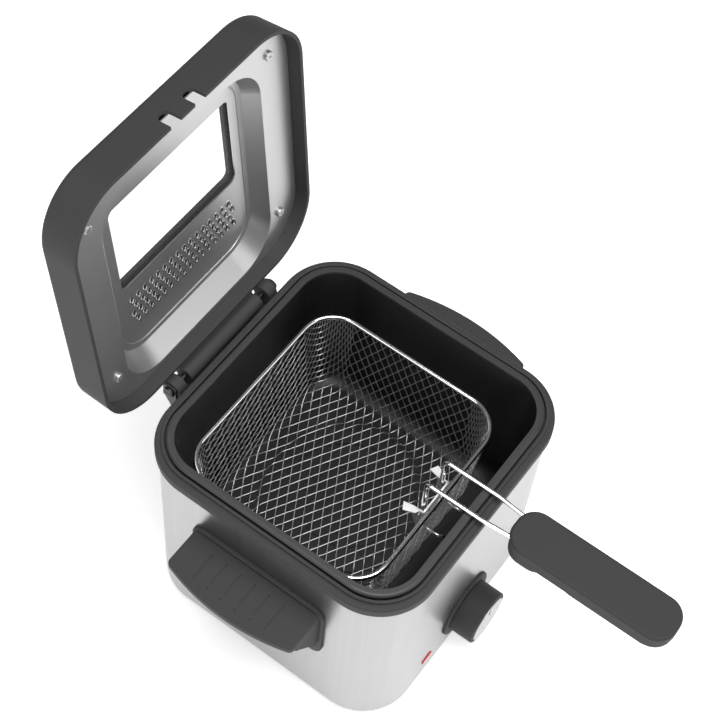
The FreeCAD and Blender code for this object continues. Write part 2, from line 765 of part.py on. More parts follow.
def make_side_handle():
    handle = Piece("side_handle_right")
    wall = half_shell + 0.1
    middle = (size.grip_plate_low + size.grip_plate_high) / 2
    plate = handle.facing_side(wall)
    draw_rounded(plate, size.grip_span, size.grip_plate_high - size.grip_plate_low, 9, 0, middle)
    handle.pad(plate, 3)
    outward = (wall + 2.9).number
    handle.round_edges(1.4, lambda box: box.XMin > outward)
    boss = handle.facing_side(wall + 2)
    draw_rounded(boss, size.grip_span - 8, 50, 7, 0, middle + 1)
    handle.pad(boss, 2.4)
    shelf = handle.level(size.grip_top)
    reach = size.grip_reach
    end_reach = reach - size.grip_bow
    half_span = size.grip_span / 2 - 3
    inner, outer = wall + 1, half_shell + end_reach
    flat = [Vector(x.number, y.number, 0) for x, y in (
        (inner, -half_span), (outer, -half_span), (outer, half_span), (inner, half_span)
    )]
    crown = Vector((half_shell + reach).number, 0, 0)
    near = shelf.addGeometry(Part.LineSegment(flat[0], flat[1]), False)
    bow = shelf.addGeometry(Part.Arc(flat[1], crown, flat[2]), False)
    far = shelf.addGeometry(Part.LineSegment(flat[2], flat[3]), False)
    root = shelf.addGeometry(Part.LineSegment(flat[3], flat[0]), False)
    for first, a, second, b in ((near, 2, bow, 1), (bow, 2, far, 1), (far, 2, root, 1), (root, 2, near, 1)):
        shelf.addConstraint(Sketcher.Constraint("Coincident", first, a, second, b))
    place_of(shelf, near, 1, inner, -half_span)
    place_of(shelf, near, 2, outer, -half_span)
    place_of(shelf, far, 1, outer, half_span)
    place_of(shelf, far, 2, inner, half_span)
    round_bow = half_span * half_span / (2 * size.grip_bow) + size.grip_bow / 2
    sized(shelf, Sketcher.Constraint("Radius", bow, round_bow.number), round_bow)
    handle.pad(shelf, 5, backwards=True)
    tip = outer.number
    handle.round_edges(4, lambda box: box.XMin > tip - 0.1 and box.XMax < tip + 0.1 and box.ZLength > 3)
    top_level = at_height(size.grip_top)
    handle.round_edges(1.2, lambda box: top_level(box) and box.XMax > tip - 8)
    for y in (-half_span, half_span - 4):
        cheek = handle.facing_front(y + 4)
        draw_outline(
            cheek,
            (
                (inner, size.grip_top - 2),
                (outer - 4.5, size.grip_top - 2),
                (outer - 4.5, size.grip_top - 9),
                (wall + 8, size.grip_plate_low + 22),
                (inner, size.grip_plate_low + 16),
            ),
        )
        handle.pad(cheek, 4)
    lip = handle.level(size.grip_top - 4)
    inset = 3.0
    draw_outline(
        lip,
        (
            (outer - 5, -half_span + 5),
            (outer - 2, -half_span + 5),
            (half_shell + reach - 2.2, -8),
            (half_shell + reach - 2.2, 8),
            (outer - 2, half_span - 5),
            (outer - 5, half_span - 5),
            (half_shell + reach - 2.2 - inset, 8),
            (half_shell + reach - 2.2 - inset, -8),
        ),
    )
    handle.pad(lip, 5, backwards=True)
    pilot = handle.facing_side(wall - 1)
    for y in (-35, 35):
        draw_circle(pilot, 3.1, y, 106)
    handle.pocket(pilot, 5.4, backwards=True)
    handle.keep()
    other = doc.addObject("Part::Mirroring", "side_handle_left")
    other.Label = "side_handle_left"
    other.Source = handle.body
    other.Normal = Vector(1, 0, 0)
    nodes["side_handle_left"] = other
    screw = Piece("side_handle_screw")
    shank = screw.facing_side(half_shell - size.shell_wall - 0.1)
    draw_circle(shank, 3.0, 35, 106)
    screw.pad(shank, 5)
    head = screw.facing_side(half_shell - size.shell_wall - 0.1)
    draw_circle(head, 7, 35, 106)
    screw.pad(head, 2.2, backwards=True)
    four_ways("side_handle_screws", screw)


def make_front_fittings():
    bezel = Piece("dial_bezel")
    face = half_shell + 0.1
    disc = bezel.facing_front(-face)
    draw_circle(disc, size.bezel_width, 0, size.dial_height)
    draw_circle(disc, 10.6, 0, size.dial_height)
    bezel.pad(disc, size.bezel_depth)
    front = (face + size.bezel_depth).number
    rounded = lambda box: box.YMax < -front + 0.01 and box.XLength > 20
    bezel.round_edges(1.2, rounded)
    mark = bezel.facing_front(-face - size.bezel_depth)
    draw_rounded(mark, 1.6, 3.2, 0.7, 0, size.dial_height + size.bezel_width / 2 - 2.6)
    bezel.pocket(mark, 0.5)
    bezel.keep()
    lens = Piece("lamp_lens")
    slot = lens.facing_front(-half_shell + 3)
    draw_rounded(slot, 11, 5.2, 1.9, size.lamp_across, size.lamp_height)
    lens.pad(slot, 4.0)
    outer = (half_shell + 1).number
    lens.round_edges(0.6, lambda box: box.YMax < -outer + 0.01)
    stop = lens.facing_front(-half_shell + 3)
    draw_rounded(stop, 15, 8.5, 2, size.lamp_across, size.lamp_height)
    lens.pad(stop, 1.6)
    lens.keep()
    lamp = Piece("lamp_body")
    can = lamp.facing_front(-half_shell + 3.1)
    draw_rounded(can, 13, 6.5, 1.5, size.lamp_across, size.lamp_height)
    lamp.pad(can, 12.5, backwards=True)
    lamp.keep()


# ------------------------------------------------------------------- knob

knob_gap = 0.35


def make_knob():
    back = half_shell + 0.1 + size.bezel_depth + knob_gap
    knob = Piece("control_knob")
    disc = knob.facing_front(-back)
    draw_circle(disc, size.knob_width, 0, size.dial_height)
    knob.pad(disc, size.knob_depth)
    front = (back + size.knob_depth).number
    knob.round_edges(1.4, lambda box: box.YMax < -front + 0.01)
    seat = knob.facing_front(-back - size.knob_depth)
    draw_circle(seat, size.knob_width - 5.6, 0, size.dial_height)
    knob.pocket(seat, 1.2)
    bore = knob.facing_front(-back)
    draw_circle(bore, size.shaft_width + 0.05, 0, size.dial_height)
    knob.pocket(bore, 13, backwards=True)
    knob.keep()
    cap = Piece("knob_cap")
    plate = cap.facing_front(-back - size.knob_depth + 1.15)
    draw_circle(plate, size.knob_width - 6, 0, size.dial_height)
    cap.pad(plate, 1.5)
    line = cap.facing_front(-back - size.knob_depth - 1)
    draw_rounded(line, 1.6, 9, 0.7, 0, size.dial_height + 11)
    cap.pocket(line, 1.2)
    cap.keep()
    shaft = Piece("thermostat_shaft")
    rod = shaft.facing_front(-half_shell + 16)
    draw_circle(rod, size.shaft_width, 0, size.dial_height)
    shaft.pad(rod, back + 12.8 - half_shell + 16)
    shaft.keep()


# -------------------------------------------------------------------- lid
# The lid is drawn closed, then turned open about the hinge axis.

hinge_point = Vector(0, size.hinge_back.number, size.hinge_height.number)
lid_open = Placement(Vector(), Rotation(Vector(1, 0, 0), -size.lid_angle.number), hinge_point)
lid_top = size.lid_mouth + size.lid_depth
liner_face = size.lid_mouth + size.liner_depth
panel_face = size.lid_mouth + size.panel_depth
screw_across, screw_front, screw_rear = 83.0, -75.0, 72.0


def make_lid_cover():
    cover = Piece("lid_cover")
    mouth = cover.level(size.lid_mouth)
    draw_square(mouth, size.rim_width)
    top = cover.level(lid_top)
    draw_square(top, size.rim_width - 2.5)
    cover.loft("Additive", top, mouth)
    cover.round_edges(4.5, at_height(lid_top))
    inner_mouth = cover.level(size.lid_mouth)
    draw_square(inner_mouth, size.rim_width - 2 * size.lid_wall)
    inner_top = cover.level(lid_top - size.lid_wall - 0.5)
    draw_square(inner_top, size.rim_width - 8)
    cover.loft("Subtractive", inner_top, inner_mouth)
    for y in (screw_front, screw_rear):
        posts = cover.level(lid_top - 2)
        for x in (-screw_across, screw_across):
            draw_circle(posts, 8, x, y)
        cover.pad(posts, lid_top - 2 - liner_face - size.liner_sheet - 0.1, backwards=True)
    window = cover.level(lid_top + 1)
    draw_rounded(window, size.window_wide - 2, size.window_tall - 2, 5, 0, size.window_middle)
    cover.pocket(window, 8)
    vent = cover.level(lid_top + 1)
    draw_rounded(vent, 3.4, 20, 1.6, -44, size.vent_middle)
    cut = cover.pocket(vent, 8)
    cover.repeat([cut], vent, "H_Axis", 88, 12)
    for side in (-1, 1):
        notch = cover.facing_front(-size.rim_width / 2 - 2)
        across = side * size.notch_spacing / 2
        draw_rounded(
            notch, size.notch_wide, 2 * size.notch_deep, 4.4, across, size.lid_mouth
        )
        cover.pocket(notch, 6)
    web = cover.facing_side(-size.barrel_length / 2)
    back, height = size.hinge_back, size.hinge_height
    draw_outline(
        web,
        (
            (size.rim_width / 2 - 1.8, size.lid_mouth + 1),
            (back - 4, height + 2.5),
            (back + 4, height + 2.5),
            (back + 4, height + 6),
            (size.rim_width / 2 - 1.8, size.lid_mouth + 13),
        ),
    )
    cover.pad(web, size.barrel_length)
    barrel = cover.facing_side(-size.barrel_length / 2)
    draw_circle(barrel, 12, back, height)
    cover.pad(barrel, size.barrel_length)
    bore = cover.facing_side(-60)
    draw_circle(bore, size.pin_width + 0.1, back, height)
    cover.pocket(bore, 120, backwards=True)
    pilots = cover.level(liner_face - 2)
    for x in (-screw_across, screw_across):
        for y in (screw_front, screw_rear):
            draw_circle(pilots, 3.1, x, y)
    cover.pocket(pilots, 13, backwards=True)
    cover.keep(lid_open)


recess_wide, recess_long, recess_back = 148.0, 178.0, 9.0
panel_wide, panel_long, panel_back = 136.0, 160.0, 6.0


def make_lid_liner():
    liner = Piece("lid_liner")
    sheet_thick = size.liner_sheet
    flange = liner.level(liner_face)
    draw_square(flange, size.rim_width - 2 * size.lid_wall - 1.8)
    liner.pad(flange, sheet_thick)
    low = liner.level(liner_face + 0.2)
    draw_rounded(low, recess_wide + 2, recess_long + 2, 32, 0, recess_back)
    high = liner.level(panel_face + sheet_thick)
    draw_rounded(high, panel_wide + 2, panel_long + 2, 27, 0, panel_back)
    liner.loft("Additive", high, low)
    hollow_low = liner.level(liner_face)
    draw_rounded(hollow_low, recess_wide, recess_long, 31, 0, recess_back)
    hollow_high = liner.level(panel_face)
    draw_rounded(hollow_high, panel_wide, panel_long, 26, 0, panel_back)
    liner.loft("Subtractive", hollow_high, hollow_low)
    window = liner.level(panel_face - 2)
    draw_rounded(window, size.window_wide, size.window_tall, 5, 0, size.window_middle)
    liner.pocket(window, 6, backwards=True)
    holes = liner.level(panel_face - 2)
    for step in range(4):
        across = -50.0 + (3.1 if step % 2 else 0.0)
        draw_rounded(holes, 2.6, 5.2, 1.2, across, 36 + 7.0 * step)
    cut = liner.pocket(holes, 6, backwards=True)
    liner.repeat([cut], holes, "H_Axis", 96.1, 16)
    fixings = liner.level(liner_face - 2)
    for x in (-screw_across, screw_across):
        for y in (screw_front, screw_rear):
            draw_circle(fixings, 3.6, x, y)
    liner.pocket(fixings, 6, backwards=True)
    liner.keep(lid_open)


def make_lid_fittings():
    pane_low = panel_face + size.liner_sheet + 0.3
    pane_high = lid_top - size.lid_wall - 0.6
    glass = Piece("window_glass")
    pane = glass.level(pane_low)
    draw_rounded(pane, size.window_wide + 8, size.window_tall + 8, 12, 0, size.window_middle)
    glass.pad(pane, pane_high - pane_low)
    glass.keep(lid_open)
    gasket = Piece("window_gasket")
    ring = gasket.level(pane_low)
    draw_rounded(ring, size.window_wide + 14, size.window_tall + 14, 15, 0, size.window_middle)
    draw_rounded(ring, size.window_wide + 8.4, size.window_tall + 8.4, 12.2, 0, size.window_middle)
    gasket.pad(ring, pane_high - pane_low)
    gasket.keep(lid_open)
    filter_pad = Piece("filter_pad")
    block = filter_pad.level(pane_low)
    draw_rounded(block, 112, 30, 4, 0, size.vent_middle + 0.8)
    filter_pad.pad(block, pane_high - pane_low)
    filter_pad.keep(lid_open)
    solids = []
    for x in (-screw_across, screw_across):
        for y in (screw_front, screw_rear):
            at = Vector(x, y, liner_face.number - 0.1)
            head = Part.makeCylinder(3.3, 1.9, at, Vector(0, 0, -1))
            edge = [e for e in head.Edges if abs(e.BoundBox.ZMin - at.z + 1.9) < 0.01]
            head = head.makeFillet(0.8, edge[:1])
            shank = Part.makeCylinder(1.5, 11, at - Vector(0, 0, 0.5), Vector(0, 0, 1))
            screw = head.fuse(shank)
            for turn in (0, 90):
                cross = Part.makeBox(3.4, 0.7, 0.9, Vector(-1.7, -0.35, 0))
                cross.rotate(Vector(), Vector(0, 0, 1), 45 + turn)
                cross.translate(at - Vector(0, 0, 1.95))
                screw = screw.cut(cross)
            solids.append(screw)
    wire_node("lid_screws", solids, lid_open)


# ----------------------------------------------------------------- basket


def make_basket():
    ring = bent_ring()
    wire_node("basket_rim_wire", [ring])
    skin = Piece("basket_outside")
    x, y = size.basket_across, size.basket_back
    wide, long, corner = size.basket_wide, size.basket_long, size.basket_corner
    top_height = size.basket_top - size.rim_wire / 2 - 0.05
    thick = size.basket_skin
    narrow = size.basket_draft
    top = skin.level(top_height)
    draw_rounded(top, wide + thick, long + thick, corner + thick / 2, x, y)
    bottom = skin.level(size.basket_bottom)
    draw_rounded(bottom, wide + thick - narrow, long + thick - narrow, corner, x, y)
    skin.loft("Additive", top, bottom)
    skin.round_edges(9, at_height(size.basket_bottom))
    hollow = Piece("basket_hollow")
    inner_top = hollow.level(top_height + 0.1)
    draw_rounded(inner_top, wide - thick, long - thick, corner - thick / 2, x, y)
    inner_bottom = hollow.level(size.basket_bottom + thick)
    inner_wide, inner_long = wide - thick - narrow, long - thick - narrow
    draw_rounded(inner_bottom, inner_wide, inner_long, corner - thick, x, y)
    hollow.loft("Additive", inner_top, inner_bottom)
    hollow.round_edges(7.5, at_height(size.basket_bottom + thick))
    carve("basket_mesh", skin, hollow)


def bent_ring():
    """Closed wire round the top of the basket: straight sides and quarter-round corners."""
    x, y, z = size.basket_across.number, size.basket_back.number, size.basket_top.number
    half_x, half_y = size.basket_wide.number / 2, size.basket_long.number / 2
    bend = size.basket_corner.number
    corners = ((1, -1), (1, 1), (-1, 1), (-1, -1))
    edges = []
    for here, there in zip(corners, corners[1:] + corners[:1]):
        along_y = here[0] == there[0]
        step = Vector(0, there[1] * bend, 0) if along_y else Vector(there[0] * bend, 0, 0)
        first = Vector(x + here[0] * half_x, y + here[1] * half_y, z) + step
        last = Vector(x + there[0] * half_x, y + there[1] * half_y, z) - step
        turn = Vector(-there[0] * bend, 0, 0) if along_y else Vector(0, -there[1] * bend, 0)
        centre = last + turn
        middle = centre - (turn - step).normalize() * bend
        after = centre + step
        edges.append(Part.LineSegment(first, last).toShape())
        edges.append(Part.Arc(last, middle, after).toShape())
    wire = Part.Wire(edges)
    start = edges[0].Vertexes[0].Point
    ring = Part.makeCircle(size.rim_wire.number / 2, start, Vector(0, 1, 0))
    return wire.makePipeShell([Part.Wire(ring)], True, False)


bracket_front = -66.0
cheek_across = 13.4
cheek_sheet = 1.2


def make_basket_fittings():
    """Bracket inside the front wall: a plate, two cheeks with pivot holes, two flared ears."""
    bracket = Piece("handle_bracket")
    plate = bracket.facing_front(bracket_front)
    tall = 26.0
    draw_rounded(plate, 2 * cheek_across + 2 * cheek_sheet, tall, 2, 0, size.pivot_height - 7)
    bracket.pad(plate, 1.2, backwards=True)
    for x in (cheek_across, -cheek_across - cheek_sheet):
        cheek = bracket.facing_side(x)
        middle = size.leg_back
        draw_outline(
            cheek,
            (
                (bracket_front + 0.5, size.pivot_height - 19),
                (middle - 1, size.pivot_height - 19),
                (middle + 4.5, size.pivot_height - 8),
                (middle + 4.5, size.pivot_height + 4.5),
                (bracket_front + 0.5, size.pivot_height + 5),
            ),
        )
        bracket.pad(cheek, cheek_sheet)
    for side in (1, -1):
        ear = bracket.level(size.pivot_height + 3.3)
        near, far = side * cheek_across, side * (cheek_across + 7)
        draw_outline(
            ear,
            (
                (near, size.leg_back - 1),
                (near, size.leg_back + 4.5),
                (side * (cheek_across + 1.5), size.leg_back + 12),
                (far, size.leg_back + 9),
                (side * (cheek_across + 4), size.leg_back + 1),
            ),
        )
        bracket.pad(ear, cheek_sheet)
    holes = bracket.facing_side(-30)
    draw_circle(holes, size.handle_wire + 1, size.leg_back, size.pivot_height)
    bracket.pocket(holes, 60, backwards=True)
    bracket.keep()
    hooks = []
    for side in (1, -1):
        start = Vector(side * 12.0, -68.2, 136)
        route = (start, Vector(side * 12.0, -78.5, 136), Vector(side * 12.0, -82.0, 139.5))
        hooks.append(bent_tube([tuple(p) for p in route], 2.2, 1.6))
    wire_node("drain_hooks", hooks)


# ----------------------------------------------------------------- handle

tip_reach = 5.6


def handle_wire_route(side):
    """Tip through the bracket, leg, level run over the flange, and the end held in the grip."""
    across = side * size.handle_spread.number / 2
    narrow = across - side * 1.6
    back, low, level = size.leg_back.number, size.pivot_height.number, size.handle_level.number
    near = size.grip_near.number
    return (
        (across + side * tip_reach, back, low),
        (across, back, low),
        (across, back, level),
        (across, near + 18, level),
        (narrow, near, level),
        (narrow, near - 28, level),
    )


def make_handle():
    width = size.handle_wire.number
    for side, label in ((1, "handle_wire_right"), (-1, "handle_wire_left")):
        route = handle_wire_route(side)
        wire_node(label, [bent_tube(route, width, 3.6)])
    length = size.grip_near - size.grip_far
    middle = (size.grip_near + size.grip_far) / 2
    upper = Piece("grip_upper")
    top = upper.level(size.grip_parting)
    draw_rounded(top, size.grip_wide, length, 14, 0, middle)
    upper.pad(top, 7.5)
    upper.round_edges(2.2, at_height(size.grip_parting + 7.5))
    lower = Piece("grip_lower")
    under = lower.level(size.grip_parting - 0.05)
    draw_rounded(under, size.grip_wide - 1.4, length - 1.4, 13.3, 0, middle)
    lower.pad(under, 5, backwards=True)
    belly = lower.level(size.grip_parting - 4)
    draw_rounded(belly, size.grip_wide - 2.4, 32, 12.5, 0, size.grip_near - 17)
    lower.pad(belly, 7.5, backwards=True)
    tail = lower.level(size.grip_parting - 4)
    draw_rounded(tail, size.grip_wide - 4.4, length - 44, 12, 0, middle - 18)
    lower.pad(tail, 5, backwards=True)
    lower.round_edges(2.0, at_height(size.grip_parting - 11.5))
    for grip, start, deep, upward in ((upper, -1, 6.6, True), (lower, 1, 1.9, False)):
        channels = grip.level(size.grip_parting + start)
        for side in (-1, 1):
            inner = side * (size.handle_spread / 2 - 2.3)
            draw_rounded(channels, 7.4, 36, 0.8, inner, size.grip_near - 12.6)
        grip.pocket(channels, deep, backwards=upward)
    pilots = upper.level(size.grip_parting - 1)
    holes = lower.level(size.grip_parting + 1)
    for y in (size.grip_near - 48, size.grip_far + 22):
        draw_circle(pilots, 2.7, 0, y)
        draw_circle(holes, 6.4, 0, y)
    upper.pocket(pilots, 5, backwards=True)
    lower.pocket(holes, 14)
    upper.keep()
    lower.keep()
    screw_heights = size.grip_parting.number - 7.5
    screws = []
    for y in (size.grip_near.number - 48, size.grip_far.number + 22):
        at = Vector(0, y, screw_heights)
        head = Part.makeCylinder(2.9, 2.2, at)
        shank = Part.makeCylinder(1.3, 10.0, at + Vector(0, 0, 1))
        cross = Part.makeBox(3.6, 0.8, 1.0, at + Vector(-1.8, -0.4, -0.1))
        screws.append(head.fuse(shank).cut(cross))
    wire_node("grip_screws", screws)


def write_nodes():
    doc.recompute()
    for thing in doc.Objects:
        if "Invalid" in thing.State or "Error" in thing.State:
            raise RuntimeError("%s failed: %s" % (thing.Name, thing.State))
    os.makedirs("parts", exist_ok=True)
    for label, thing in nodes.items():
        shape = thing.Shape
        if shape.isNull() or not shape.isValid():
            raise RuntimeError("%s has no sound shape" % label)
        shape.exportStep("parts/%s.step" % label)
        box = shape.BoundBox
        print("%-20s %d solid(s) %9.1f mm3  z %.1f to %.1f" % (
            label, len(shape.Solids), shape.Volume, box.ZMin, box.ZMax
        ))


make_outer_shell()
make_top_rim()
make_pot_gasket()
make_inner_pot()
make_base_plate()
make_rubber_feet()
make_studs()
make_heating()
make_thermostat()
make_supply()
make_cord_gland()
make_hinge_fittings()
make_side_handle()
make_front_fittings()
make_knob()
make_lid_cover()
make_lid_liner()
make_lid_fittings()
make_basket()
make_basket_fittings()
make_handle()
write_nodes()
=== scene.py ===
import math

import bmesh
import bpy
from mathutils import Matrix, Vector


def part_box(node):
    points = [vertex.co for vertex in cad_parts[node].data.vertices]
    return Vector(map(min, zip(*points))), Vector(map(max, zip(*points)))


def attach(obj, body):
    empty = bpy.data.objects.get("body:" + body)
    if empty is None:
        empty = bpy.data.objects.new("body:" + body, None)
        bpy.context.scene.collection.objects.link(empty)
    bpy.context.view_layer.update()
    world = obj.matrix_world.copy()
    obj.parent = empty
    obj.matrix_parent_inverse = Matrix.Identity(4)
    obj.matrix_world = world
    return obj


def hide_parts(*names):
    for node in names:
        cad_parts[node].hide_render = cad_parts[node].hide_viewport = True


bl_info = {
    "name": "Deep fryer",
    "version": (1, 0, 0),
    "blender": (4, 5, 0),
    "location": "3D View > Sidebar > Fryer",
    "description": "Finishes and fine pieces of a compact deep fryer with its lid open",
    "category": "Add Mesh",
}

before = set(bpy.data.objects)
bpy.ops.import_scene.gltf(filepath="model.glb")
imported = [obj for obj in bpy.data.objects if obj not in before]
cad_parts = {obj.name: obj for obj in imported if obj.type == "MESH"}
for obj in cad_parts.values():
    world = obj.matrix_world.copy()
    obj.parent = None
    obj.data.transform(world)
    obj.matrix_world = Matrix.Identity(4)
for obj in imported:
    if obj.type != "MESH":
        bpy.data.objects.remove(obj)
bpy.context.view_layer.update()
MM = 0.001


def middle_of(node):
    low, high = (Vector(corner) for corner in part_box(node))
    return (low + high) / 2


# Pieces are drawn about the middle of the shell, on the table.
SHELL = Vector((*middle_of("outer_shell").xy, 0))
RIM_WIRE = [Vector(corner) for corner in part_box("basket_rim_wire")]
BASKET_FLOOR = Vector(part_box("basket_mesh")[0]).z


# ---------------------------------------------------------------- settings

def length(name, description, default):
    """A length property, its default in millimetres."""
    return bpy.props.FloatProperty(
        name=name, description=description, default=default * MM, min=0, subtype="DISTANCE", unit="LENGTH"
    )


def colour(name, description, default):
    """A colour property, its default as linear red, green and blue."""
    return bpy.props.FloatVectorProperty(
        name=name, description=description, default=default, size=3, min=0, max=1, subtype="COLOR"
    )


class BasketSettings(bpy.types.PropertyGroup):
    pitch: length("Mesh pitch", "Distance between crossings along a mesh wire", 7.53)
    gauge: length("Mesh wire", "Diameter of the mesh wire", 0.75)
    slant: bpy.props.FloatProperty(
        name="Slant",
        description="Angle of the mesh wires from the line of the hinge",
        default=math.radians(29.6),
        subtype="ANGLE",
        unit="ROTATION",
    )
    raised: length("Raised floor", "How far the oval panel in the floor stands up", 4.5)
    bend: length("Floor bend", "Radius of the bend from floor to wall", 8.0)
    corner: length("Floor corner", "Corner radius of the floor inside its bend", 11.0)
    crimp: length("Crimp", "How far a wire rises and falls as it passes the others", 0.16)


class ColourSettings(bpy.types.PropertyGroup):
    steel: colour("Steel", "Brushed steel of the shell", (0.41, 0.41, 0.415))
    plain_steel: colour("Plain steel", "Zinc-plated steel of brackets and screws", (0.4, 0.4, 0.41))
    plastic: colour(
        "Black plastic", "Satin plastic of the rim, lid, knob and handles", (0.0035, 0.0035, 0.0037)
    )
    grip: colour("Grip plastic", "Plastic of the basket grip", (0.0028, 0.0028, 0.003))
    nonstick: colour("Non-stick", "Coating of the pot", (0.007, 0.007, 0.0075))
    chrome: colour("Chrome", "Plated wire of the basket", (0.72, 0.72, 0.72))
    liner: colour("Lid liner", "Satin pressed metal inside the lid", (0.22, 0.22, 0.22))
    dark_steel: colour("Dark steel", "Blackened steel of the hinge", (0.06, 0.06, 0.062))
    rubber: colour("Rubber", "Feet, seals and gland", (0.02, 0.02, 0.02))
    lamp: colour("Pilot lamp", "Red lens", (0.5, 0.01, 0.014))
    insulator: colour("Insulator", "Off-white insulating plastic", (0.62, 0.61, 0.56))
    silver: colour("Knob cap", "Spun disc on the knob", (0.42, 0.42, 0.42))


class StudioSettings(bpy.types.PropertyGroup):
    floor: colour("Floor", "Plain pale floor", (0.93, 0.93, 0.93))
    fill: bpy.props.FloatProperty(
        name="Fill", description="Strength of the surrounding light", default=0.17, min=0
    )
    key: bpy.props.FloatProperty(
        name="Key", description="Power of the overhead softbox, in watts", default=30.0, min=0
    )
    side: bpy.props.FloatProperty(
        name="Side", description="Power of each side softbox, in watts", default=7.0, min=0
    )


# ---------------------------------------------------------------- shader maths

class Wire:
    """A number that changes over a surface; an expression on it adds its Math nodes."""

    def __init__(self, finish, socket):
        self.finish = finish
        self.socket = socket

    def maths(self, operation, *values):
        node = self.finish.node("Math", {"operation": operation}, values)
        return Wire(self.finish, node.outputs[0])

    def __add__(self, other):
        return self.maths("ADD", self, other)

    def __sub__(self, other):
        return self.maths("SUBTRACT", self, other)

    def __rsub__(self, other):
        return self.maths("SUBTRACT", other, self)

    def __mul__(self, other):
        return self.maths("MULTIPLY", self, other)

    def __pow__(self, other):
        return self.maths("POWER", self, other)

    __radd__ = __add__

    def wave(self):
        return self.maths("SINE", self)

    def between(self, start, end):
        """0 up to start, 1 from end, and a soft step between."""
        node = self.finish.node(
            "MapRange",
            {"interpolation_type": "SMOOTHSTEP"},
            {"Value": self, "From Min": start, "From Max": end, "To Min": 0, "To Max": 1},
        )
        return Wire(self.finish, node.outputs["Result"])


class Finish:
    """A material in the making."""

    def __init__(self, name):
        self.material = bpy.data.materials.new(name)
        self.material.use_nodes = True
        self.tree = self.material.node_tree
        self.tree.nodes.clear()
        self.output = self.tree.nodes.new("ShaderNodeOutputMaterial")
        self.place = self.node("TexCoord").outputs["Object"]

    def node(self, kind, settings=None, sockets=()):
        """A node of this kind: its settings first, then the values or links of its sockets."""
        node = self.tree.nodes.new("ShaderNode" + kind)
        for key, value in (settings or {}).items():
            setattr(node, key, value)
        pairs = sockets.items() if isinstance(sockets, dict) else enumerate(sockets)
        for key, value in pairs:
            socket = node.inputs[key]
            if isinstance(value, Wire):
                value = value.socket
            if isinstance(value, bpy.types.NodeSocket):
                self.tree.links.new(value, socket)
            elif hasattr(value, "__len__") and socket.type == "RGBA" and len(value) == 3:
                socket.default_value = (*value, 1)
            else:
                socket.default_value = value
        return node

    def stretched(self, scale):
        """Object coordinates, scaled along each axis."""
        sockets = {"Vector": self.place, "Scale": scale}
        return self.node("Mapping", {"vector_type": "POINT"}, sockets).outputs[0]

    def noise(self, scale, detail=3.0, at=None):
        """Cloudy noise from 0 to 1; detail is how many finer layers it has."""
        sockets = {"Vector": at or self.place, "Scale": scale, "Detail": detail, "Roughness": 0.55}
        return Wire(self, self.node("TexNoise", {}, sockets).outputs[0])

    def cells(self, scale):
        """How far each point is from the middle of the nearest cell."""
        node = self.node("TexVoronoi", {}, {"Vector": self.place, "Scale": scale})
        return Wire(self, node.outputs["Distance"])

    def axes(self):
        """The three object coordinates, in metres."""
        node = self.node("SeparateXYZ", {}, [self.place])
        return [Wire(self, socket) for socket in node.outputs]

    def tint(self, mask, low, high):
        """Colour that goes from low to high with the mask."""
        node = self.node("Mix", {"data_type": "RGBA"}, {"Factor": mask, 6: low, 7: high})
        return node.outputs[2]

    def bump(self, height, depth):
        """Normals of a surface that rises by depth, in metres, where height is 1."""
        sockets = {"Height": height, "Distance": depth, "Strength": 1.0}
        return self.node("Bump", {}, sockets).outputs[0]

    def surface(self, sockets):
        """The finished material, from the shader's socket values."""
        shader = self.node("BsdfPrincipled", {}, sockets)
        self.tree.links.new(shader.outputs[0], self.output.inputs["Surface"])
        return self.material


def shade(tone, share):
    """The same colour, lighter or darker."""
    return tuple(min(1.0, part * share) for part in tone)


def moulded(name, tone, rough=0.4, grain=1400.0, depth=0.03 * MM):
    """Satin moulded plastic: fine spark-eroded grain, faint flow marks, slight wiping of the gloss."""
    finish = Finish(name)
    grit = finish.noise(grain, 2.0)
    flow = finish.noise(26.0)
    wipe = finish.noise(70.0, 4.0)
    return finish.surface({
        "Base Color": finish.tint(flow.between(0.3, 0.7), shade(tone, 0.88), shade(tone, 1.18)),
        "Roughness": rough - 0.05 + wipe * 0.1 + grit * 0.04,
        "Specular IOR Level": 0.045,
        "Normal": finish.bump(grit, depth),
    })


def streaked(along, across_scale, along_scale):
    """Scales for a pattern drawn out along one axis."""
    return [along_scale if axis == along else across_scale for axis in "XYZ"]


def brushed(name, tone, along, rough=0.3):
    """Brushed metal: long streaks along one direction, with softer wide bands under them."""
    finish = Finish(name)
    streak = finish.noise(1.0, 2.0, at=finish.stretched(streaked(along, 1600.0, 9.0)))
    band = finish.noise(1.0, at=finish.stretched(streaked(along, 240.0, 2.5)))
    cloud = finish.noise(14.0, 2.0)
    return finish.surface({
        "Base Color": finish.tint(streak * 0.5 + band * 0.5, shade(tone, 0.84), shade(tone, 1.12)),
        "Metallic": 1.0,
        "Roughness": rough - 0.05 + streak * 0.1 + cloud * 0.05,
        "Normal": finish.bump(streak + band, 0.012 * MM),
    })


def plated(name, tone, rough=0.08):
    """Bright plating with faint drawing marks and a slightly duller haze in places."""
    finish = Finish(name)
    haze = finish.noise(120.0)
    marks = finish.noise(900.0, 2.0)
    return finish.surface({
        "Base Color": finish.tint(haze, shade(tone, 0.92), shade(tone, 1.05)),
        "Metallic": 1.0,
        "Roughness": rough + haze * 0.1 + marks * 0.04,
        "Normal": finish.bump(marks, 0.006 * MM),
    })


